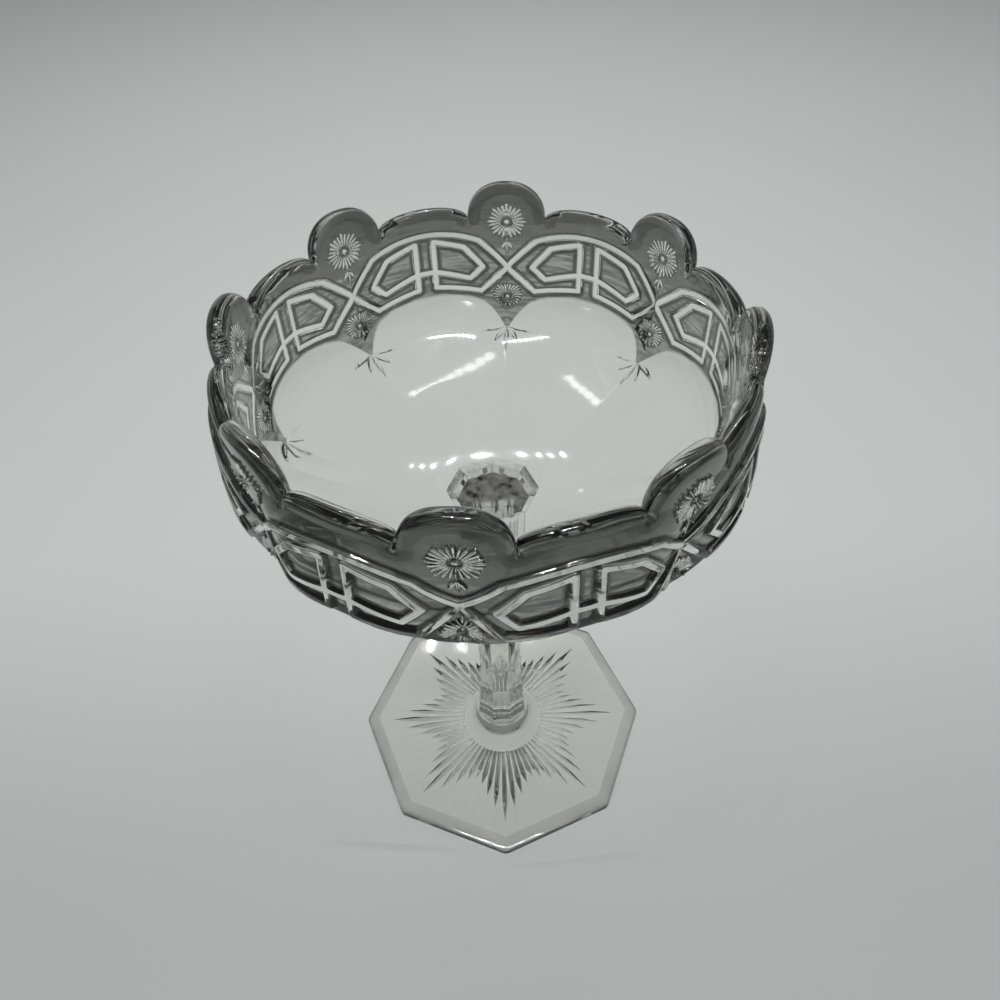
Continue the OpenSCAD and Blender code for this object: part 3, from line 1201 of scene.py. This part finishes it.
@dataclass(frozen=True)
class BowlRows:
    """How close the rows and columns of the bowl's skin lie.

    The band's rows are fine within reach of the daisies, and closer still over the last
    millimetres under the rim. The basin's floor and the glass near the seat have
    coarser columns.
    """

    daisy_half: float = 4.6
    daisy_columns: int = 32
    lobe_columns: int = 27
    scallop_columns: int = 48
    coarse: int = 4
    seat_rows: int = 7
    seat_share: float = 0.55
    facet_rows: int = 54
    facet_share: float = 0.975
    edge_rows: int = 4
    edge_steps: int = 6
    inner_rows: int = 30
    inner_power: float = 2
    turn_rows: int = 16
    basin_rows: int = 40
    band_step: float = 0.4
    fine_step: float = 0.21
    low_reach: float = 5.4
    high_reach: float = 8.4
    high_drop: float = 2
    rim_step: float = 0.05
    rim_gain: float = 0.35
    rim_depth: float = 3
    samples: int = 4000
    line_past: float = 6
    line_points: int = 700
    line_walls: float = 3

    def half_columns(self, lobe_half: float) -> Array:
        """Angles of the columns of half a sector, close at the daisies and the notch.

        Args:
            lobe_half: Half the angle of a lobe, at whose end the notch lies.

        Returns:
            The angles, 0 to HALF.
        """
        fine = np.linspace(0, self.daisy_half, self.daisy_columns + 1)
        ahead = math.asin(self.daisy_half / lobe_half)
        lobe = lobe_half * np.sin(np.linspace(ahead, math.pi / 2, self.lobe_columns + 1))
        back = np.sin(np.linspace(math.pi / 2, 0, self.scallop_columns + 1))
        scallop = HALF - (HALF - lobe_half) * back
        return np.concatenate([fine, lobe[1:], scallop[1:]])

    def basin_shares(self) -> Array:
        """Shares of the way from the seat to the band at which the underside's rows lie."""
        near = np.linspace(0, self.seat_share, self.seat_rows + 1)[1:]
        return np.append(near, np.linspace(self.seat_share, self.facet_share, self.facet_rows + 1)[1:])

    def band_shares(self, span: float, low: float, high: float) -> Array:
        """Shares at which the rows of the band lie, close at the daisies and the rim.

        Args:
            span: Height of the band at a lobe's middle.
            low: Height of the lower daisies over the band's start.
            high: Height of the upper daisies over the band's start.

        Returns:
            The shares from 0 to 1.
        """
        z = np.linspace(0, span, self.samples)
        near = np.minimum(np.abs(z - low) - self.low_reach,
                          np.abs(z - high + self.high_drop) - self.high_reach)
        step = np.where(near < 0, self.fine_step, self.band_step)
        to_rim = np.sqrt(np.maximum(span - z, 0) / self.rim_depth)
        step = np.minimum(step, self.rim_step + self.rim_gain * to_rim)
        count = np.concatenate([[0], np.cumsum(np.diff(z) / step[1:])])
        total = round(count[-1])
        return np.interp(np.linspace(0, count[-1], total + 1), count, z) / span


@dataclass
class Bowl(GlassPiece):
    """Fluted bowl with an upright band in relief and a rim of lobes and scallops.

    Its outside is worked out for half a sector, from a lobe's middle to the middle
    between two lobes, and repeated all the way round.
    """

    turn: float = -6
    twist_rows: Pair = (-1, 3)
    seat_r: float = SEAT_R
    seat_z: float = SEAT_Z
    low_r: float = 76
    top_r: float = 80.16
    wall: float = 5.6
    low_wall: float = 3
    floor_t: float = 5.5
    cusp_z: float = 172
    arch_z: float = 182
    cross_z: float = 193
    notch_z: float = 213.6
    edge_lift: float = 1.1
    swell: float = 5
    swell_power: float = 3
    facet_power: float = 1.85
    crease_keen: float = 500

    # The rim
    lobe_h: float = 12.8
    lobe_half: float = 10.4
    lobe_power: float = 2.3
    scallop_h: float = 4.8
    scallop_power: float = 2.2

    # The inside of the basin
    basin_share: float = 0.735
    floor_power: float = 2.6
    turn_r_share: float = 0.9
    turn_z_share: float = 0.3

    # The relief, and the painted shade on its ground
    frames: Frames = Frames()
    daisy_high: Daisy = Daisy(211.13, 7.1)
    daisy_low: Daisy = Daisy(180.64, 6.0)
    high_spray: Spray = Spray((-34, 0, 34), (4.4, 6.0, 4.4), 1.9)
    cusp_spray: Spray = Spray((-72, -36, 0, 36, 72), (10.5, 9.0, 10.5, 9.0, 10.5), 2.5)
    petal_h: float = 0.9
    spray_gap: float = 0.4
    cusp_spray_rise: float = 1.5
    cusp_reach: float = 6.5
    cusp_half: float = 7
    cusp_power: float = 1.5
    border_soft: float = 0.6
    painted_shade: GroundPaintedShade = GroundPaintedShade()
    rows: BowlRows = BowlRows()
    sharp: float = 60

    def facet_z(self, radius: Any, angle: Array) -> Array:
        """Underside of the basin, eight facets that are curved one way only.

        Args:
            radius: Distances from the axis.
            angle: Directions, with a crease at 0.

        Returns:
            The height at each place.
        """
        corner = radius / octagon(1.0, angle, self.crease_keen)
        share = np.maximum((corner - self.seat_r) / (self.low_r - self.seat_r), 0)
        return self.seat_z + (self.cusp_z - self.seat_z) * share**self.facet_power

    def band_share(self, height: Any) -> Any:
        """How far up the band a height is, 0 at the cusps and 1 at the notches."""
        return (height - self.cusp_z) / (self.notch_z - self.cusp_z)

    def band_r(self, angle: Array, height: Array) -> Array:
        """Outer radius of the band.

        Args:
            angle: Directions.
            height: Heights.

        Returns:
            The radius at each place.
        """
        share = self.band_share(height)
        rounded = 1 - (1 - from_corner(angle) / HALF) ** self.swell_power
        swell = self.swell * rounded * np.maximum(0, 1 - share**2)
        return lerp(self.low_r, self.top_r, share) + swell

    def wall_r(self, height: Any) -> Any:
        """Inner radius of the band at a height."""
        return lerp(self.low_r - self.low_wall, self.top_r - self.wall, self.band_share(height))

    def edge(self, angle: Array) -> tuple[Array, Array]:
        """Lower edge of the band, where the facets cut it in arches.

        Args:
            angle: Directions.

        Returns:
            Radius and height of the edge.
        """
        height = np.full(np.shape(angle), self.cusp_z)
        for _ in range(self.rows.edge_steps):
            height = self.facet_z(self.band_r(angle, height), angle)
        return self.band_r(angle, height), height

    def rim_z(self, angle: Array) -> Array:
        """Height of the rim: tall lobes and wide scallops.

        Args:
            angle: Directions.

        Returns:
            The height in each direction.
        """
        off = from_corner(angle)
        lobe = np.maximum(1 - (off / self.lobe_half) ** self.lobe_power, 0)
        inside = np.clip((HALF - off) / (HALF - self.lobe_half), 0, 1)
        scallop = np.maximum(1 - inside**self.scallop_power, 0)
        rise = np.where(off < self.lobe_half, self.lobe_h * np.sqrt(lobe),
                        self.scallop_h * np.sqrt(scallop))
        return self.notch_z + rise

    def floor_z(self, radius: Any) -> Any:
        """Inside of the basin.

        Args:
            radius: Distances from the axis.

        Returns:
            The height at each distance.
        """
        share = radius / (self.low_r - self.low_wall)
        rise = self.basin_share * (self.arch_z - self.seat_z)
        return self.seat_z + self.floor_t + rise * share**self.floor_power

    def petals(self, x: Array, sheet: Array, height: Array) -> tuple[Array, Array]:
        """The daisies and their leaves, and the ground that they lie on.

        Args:
            x: Distance from the lobe's middle, across.
            sheet: Height along the sheet, from the cusp under the lobe.
            height: Real heights.

        Returns:
            The height of the petals, 0 to 1, and where their bed is, 0 to 1.
        """
        daisies = (self.daisy_high, self.daisy_low)
        spray_z = self.daisy_high.level - self.daisy_high.radius - self.spray_gap
        raised = np.maximum.reduce([
            *(daisy.over(x, height - daisy.level) for daisy in daisies),
            self.high_spray.over(x, height - spray_z),
            self.cusp_spray.over(x, sheet - (self.cusp_spray_rise - self.cusp_reach)),
        ])
        beds = [daisy.bed(x, height - daisy.level) for daisy in daisies]
        return raised, np.maximum.reduce([*beds, raised > self.painted_shade.petal_least])

    def relief(self, off: Array, sheet: Array, height: Array) -> tuple[Array, Array]:
        """All relief on the outside.

        Args:
            off: Angles from the lobe's middle.
            sheet: Height along the sheet, from the cusp under the lobe.
            height: Real heights.

        Returns:
            The height of the relief, and the painted shade mark.
        """
        flat = round_length(self.low_r)
        soft, painted_shade = self.border_soft, self.painted_shade
        frames, grey = self.frames.over((HALF - off) * flat, height - self.cross_z, flat)
        petals, bed = self.petals(off * flat, sheet, height)
        over_edge = sheet - (self.edge(off)[1] - self.cusp_z)
        on_band = soft_step(-soft, soft, over_edge)
        reach = self.cusp_reach * np.maximum(1 - off / self.cusp_half, 0) ** self.cusp_power
        on_ground = soft_step(-soft, soft, over_edge + reach)
        # Painted shade: grey ribs and ground, deeper high on the band and on the daisy beds, clear on
        # the petals
        grey = lerp(1.0, grey, on_band) + painted_shade.high_gain * soft_step(*painted_shade.high_z, height)
        open_glass = np.clip(petals * painted_shade.petal_gain - painted_shade.petal_loss, 0, 1)
        mark = on_ground * np.maximum(grey, bed * painted_shade.bed) * (1 - open_glass)
        return np.maximum(frames * on_band, petals * self.petal_h), mark

    def outside(self, off: Array) -> tuple[Array, Array, Array]:
        """The outer skin from near the seat to the rim.

        Args:
            off: Angles of the columns.

        Returns:
            Radius, height and sheet height, as rows by columns.
        """
        edge_r, edge_z = self.edge(off)
        seat = octagon(self.seat_r, off)
        shares = self.rows.basin_shares()
        radii = [lerp(seat, edge_r, share) for share in shares]
        heights = [self.facet_z(radius, off) for radius in radii]
        last_r, last_z = radii[-1], heights[-1]
        up_z = edge_z + self.edge_lift
        up_r = self.band_r(off, up_z)
        for share in np.linspace(0, 1, self.rows.edge_rows + 1)[1:]:
            radii.append(bend(last_r, edge_r, up_r, share))
            heights.append(bend(last_z, edge_z, up_z, share))
        top = self.rim_z(off)
        span = self.rim_z(np.zeros(1))[0] - self.cusp_z - self.edge_lift
        low, high = (daisy.level - self.cusp_z for daisy in (self.daisy_low, self.daisy_high))
        for share in self.rows.band_shares(span, low, high)[1:]:
            heights.append(lerp(up_z, top, share))
            radii.append(self.band_r(off, heights[-1]))
        radius, height = np.array(radii), np.array(heights)
        steps = np.hypot(np.diff(radius, axis=0), np.diff(height, axis=0))
        run = np.concatenate([np.zeros((1, len(off))), np.cumsum(steps, axis=0)])
        mid_edge = len(shares) + self.rows.edge_rows // 2 - 1
        return radius, height, run - run[mid_edge] + (edge_z - self.cusp_z)

    def rim_gap(self, off: Array, height: Array) -> Array:
        """How far each place is from the rim's line.

        Args:
            off: Angles of the columns.
            height: Heights, as rows by columns, of which the last row is the rim.

        Returns:
            The distance, up to the wall's thickness.
        """
        flat = round_length(self.top_r)
        past = self.rows.line_past
        spread = np.linspace(-past, HALF + past, self.rows.line_points)
        fine = np.unique(np.concatenate([off, spread]))
        line = list(zip(fine * flat, self.rim_z(fine)))
        near = np.abs(height - self.rim_z(off)) < self.wall * self.rows.line_walls
        away = np.full(height.shape, self.wall)
        x = np.broadcast_to(off * flat, height.shape)
        away[near] = to_path(x[near], height[near], line)
        away[-1] = 0
        return np.minimum(away, self.wall)

    def rounding(self, away: Array) -> Array:
        """How far each face draws in towards the middle of the wall near the rim.

        Args:
            away: Distances from the rim's line.

        Returns:
            The distance at each place, up to half the wall.
        """
        half = self.wall / 2
        inset = np.clip(away, 0, half)
        return half - np.sqrt(np.maximum(half**2 - (half - inset) ** 2, 0))

    def outer_skin(self, skin: RingSkin, off: Array, angle: Array) -> None:
        """Adds the outer skin from the middle of the seat to the rim.

        Args:
            skin: The skin, still empty.
            off: Angles of the columns of half a sector.
            angle: Directions of all columns.
        """
        radius, height, sheet = self.outside(off)
        rise, mark = self.relief(off, sheet, height)
        away = self.rim_gap(off, height)
        radius = radius - self.rounding(away)
        # The painted shade fades at the rim and deepens just below it
        mark = mark * self.painted_shade.at_rim(away)
        radius, height, rise, mark = map(sector_values, (radius, height, rise, mark))
        every = np.broadcast_to(angle, radius.shape)
        grid = placed(radius, every, height, FRONT_TURN + self.turn)
        normal = skin_normals(grid)
        normal[-1] = 0
        grid = grid + normal * rise[..., None]
        few = slice(None, None, self.rows.coarse)
        seat = placed(octagon(self.seat_r, angle[few]), angle[few], self.seat_z)
        skin.start((0, 0, self.seat_z), seat, Face.JOINT)
        for row in range(self.rows.seat_rows):
            twist = self.turn * float(soft_step(*self.twist_rows, np.array(row)))
            skin.ring(placed(radius[row], angle, height[row], FRONT_TURN + twist)[few])
        for row in range(self.rows.seat_rows, len(grid)):
            skin.ring(grid[row], mark[row])

    def inner_skin(self, skin: RingSkin, off: Array, angle: Array) -> None:
        """Adds the inner skin from the rim to the middle of the basin.

        Args:
            skin: The skin, which ends at the rim's top.
            off: Angles of the columns of half a sector.
            angle: Directions of all columns.
        """
        turn = FRONT_TURN + self.turn
        basin_r = self.low_r - self.low_wall
        wall_z = lerp(self.arch_z, self.notch_z, self.turn_z_share)
        top = self.rim_z(off)
        shares = np.linspace(0, 1, self.rows.inner_rows + 1)[1:] ** self.rows.inner_power
        height = np.array([lerp(top, wall_z, share) for share in shares])
        inset = self.rounding(self.rim_gap(off, np.vstack([height, top])))[:-1]
        radius = self.wall_r(height) + inset
        for r, z in zip(sector_values(radius), sector_values(height)):
            skin.ring(placed(r, angle, z, turn))
        wall = np.array([self.wall_r(wall_z), wall_z])
        corner = np.array([basin_r, self.floor_z(basin_r)])
        low_r = self.turn_r_share * basin_r
        low = np.array([low_r, self.floor_z(low_r)])
        few = angle[::self.rows.coarse]
        for share in np.linspace(0, 1, self.rows.turn_rows + 1)[1:]:
            r, z = bend(wall, corner, low, share)
            skin.ring(placed(r, few, z, turn))
        for share in np.linspace(1, 0, self.rows.basin_rows + 1)[1:-1]:
            skin.ring(placed(low_r * share, few, self.floor_z(low_r * share), turn))
        skin.close((0, 0, self.floor_z(0.0)), Face.GLASS)

    def build(self) -> bpy.types.Object:
        """Builds the bowl.

        Returns:
            The object.
        """
        off = self.rows.half_columns(self.lobe_half)
        angle = sector_angles(off)
        skin = RingSkin()
        self.outer_skin(skin, off, angle)
        self.inner_skin(skin, off, angle)
        return self.dress(skin, self.sharp)


# The studio


@dataclass(frozen=True)
class LampRow:
    """A straight row of lamps, by the places of its first and last lamp in metres."""

    which: Lamp
    first: Place
    last: Place


@dataclass
class Studio:
    """Plain pale floor, rows of small lamps, a dim world and the camera."""

    sheet: PaleSheet = PaleSheet()
    floor_half: float = 6.0
    floor_drop: float = 0.0003
    rows: tuple[LampRow, ...] = (
        LampRow(Lamp.LEFT, (-0.36, -0.17, 1.35), (-0.1, -0.15, 1.37)),
        LampRow(Lamp.RIGHT, (0.08, -0.2, 1.37), (0.34, -0.22, 1.35)),
        LampRow(Lamp.BACK, (-0.2, 0.85, 1.2), (0.2, 0.9, 1.2)),
    )
    lamps_in_row: int = 9
    lamp_across: float = 0.004
    lamp_power: float = 0.64
    horizon: Colour = (0.46, 0.48, 0.47)
    zenith: Colour = (0.2, 0.205, 0.205)
    horizon_up: float = 0.05
    zenith_up: float = 0.6
    bounces: int = 40
    lens: float = 31.63
    shift: float = -0.05
    clip: Pair = (0.01, 50)
    look_at: Place = (2.98, 0.0, 171.0)
    look_down: float = 43.413
    distance: float = 289.4
    roll: float = 1.917

    def floor(self) -> bpy.types.Object:
        """Lays the floor.

        Returns:
            The floor.
        """
        half, drop = self.floor_half, -self.floor_drop
        mesh = bpy.data.meshes.new("floor")
        corners = [(-half, -half, drop), (half, -half, drop), (half, half, drop), (-half, half, drop)]
        mesh.from_pydata(corners, [], [(0, 1, 2, 3)])
        made = bpy.data.objects.new("floor", mesh)
        bpy.context.scene.collection.objects.link(made)
        made.data.materials.append(self.sheet.material())
        return made

    def lamps(self, row: LampRow) -> None:
        """Hangs a row of small round lamps that face the object.

        Args:
            row: The row.
        """
        data = bpy.data.lights.new(row.which.value, "AREA")
        data.shape = "DISK"
        data.size = self.lamp_across
        data.energy = self.lamp_power
        for i in range(self.lamps_in_row):
            made = bpy.data.objects.new(f"{row.which.value}_{i + 1}", data)
            made.location = Vector(row.first).lerp(Vector(row.last), i / (self.lamps_in_row - 1))
            aim = Vector((0, 0, self.look_at[2] * MM)) - made.location
            made.rotation_euler = aim.to_track_quat("-Z", "Y").to_euler()
            bpy.context.scene.collection.objects.link(made)

    def world(self) -> None:
        """Makes a world that is pale grey at the horizon and dimmer overhead."""
        world = bpy.data.worlds.new("studio")
        bpy.context.scene.world = world
        world.use_nodes = True
        bench = Bench(world.node_tree)
        up = bench.split(bench.where("Generated"), "Z").smooth(self.horizon_up, self.zenith_up)
        colour = bench.mixed(up, self.horizon, self.zenith)
        back = bench.node("ShaderNodeBackground", {}, {"Color": colour, "Strength": 1.0})
        bench.node("ShaderNodeOutputWorld", {}, {"Surface": back.outputs[0]})

    def camera(self) -> bpy.types.Object:
        """Sets the camera at the photograph's angle.

        Returns:
            The camera.
        """
        data = bpy.data.cameras.new("camera")
        data.lens = self.lens
        data.shift_y = self.shift
        data.clip_start, data.clip_end = self.clip
        made = bpy.data.objects.new("camera", data)
        down = math.radians(self.look_down)
        ahead = Vector((0, math.cos(down), -math.sin(down)))
        right = Vector((1, 0, 0))
        up = right.cross(ahead)
        tilt = math.radians(self.roll)
        side = right * math.cos(tilt) - up * math.sin(tilt)
        head = right * math.sin(tilt) + up * math.cos(tilt)
        place = (Vector(self.look_at) - ahead * self.distance) * MM
        axes = Matrix((side, head, -ahead)).transposed().to_4x4()
        made.matrix_world = Matrix.Translation(place) @ axes
        bpy.context.scene.collection.objects.link(made)
        bpy.context.scene.camera = made
        return made

    def build(self) -> None:
        """Sets up the whole studio."""
        self.camera()
        self.floor()
        self.world()
        for row in self.rows:
            self.lamps(row)
        bpy.context.scene.view_settings.view_transform = "Standard"
        light_paths = bpy.context.scene.cycles
        light_paths.max_bounces = self.bounces
        light_paths.transmission_bounces = self.bounces


def main() -> None:
    """Builds the studio and the three pieces of glass."""
    Studio().build()
    joint = JointPaintedShade().material()
    foot_glass = PressedGlass("foot_glass", clear=(0.87, 0.86, 0.83), shadow_pass=0.88)
    stem_glass = PressedGlass("stem_glass", clear=(0.94, 0.935, 0.91))
    Foot("foot", "foot_glass", foot_glass, joint).build()
    Stem("stem", "stem_glass", stem_glass, joint).build()
    Bowl("bowl", "bowl_glass", PressedGlass("bowl_glass"), joint).build()


if __name__ == "__main__":
    main()
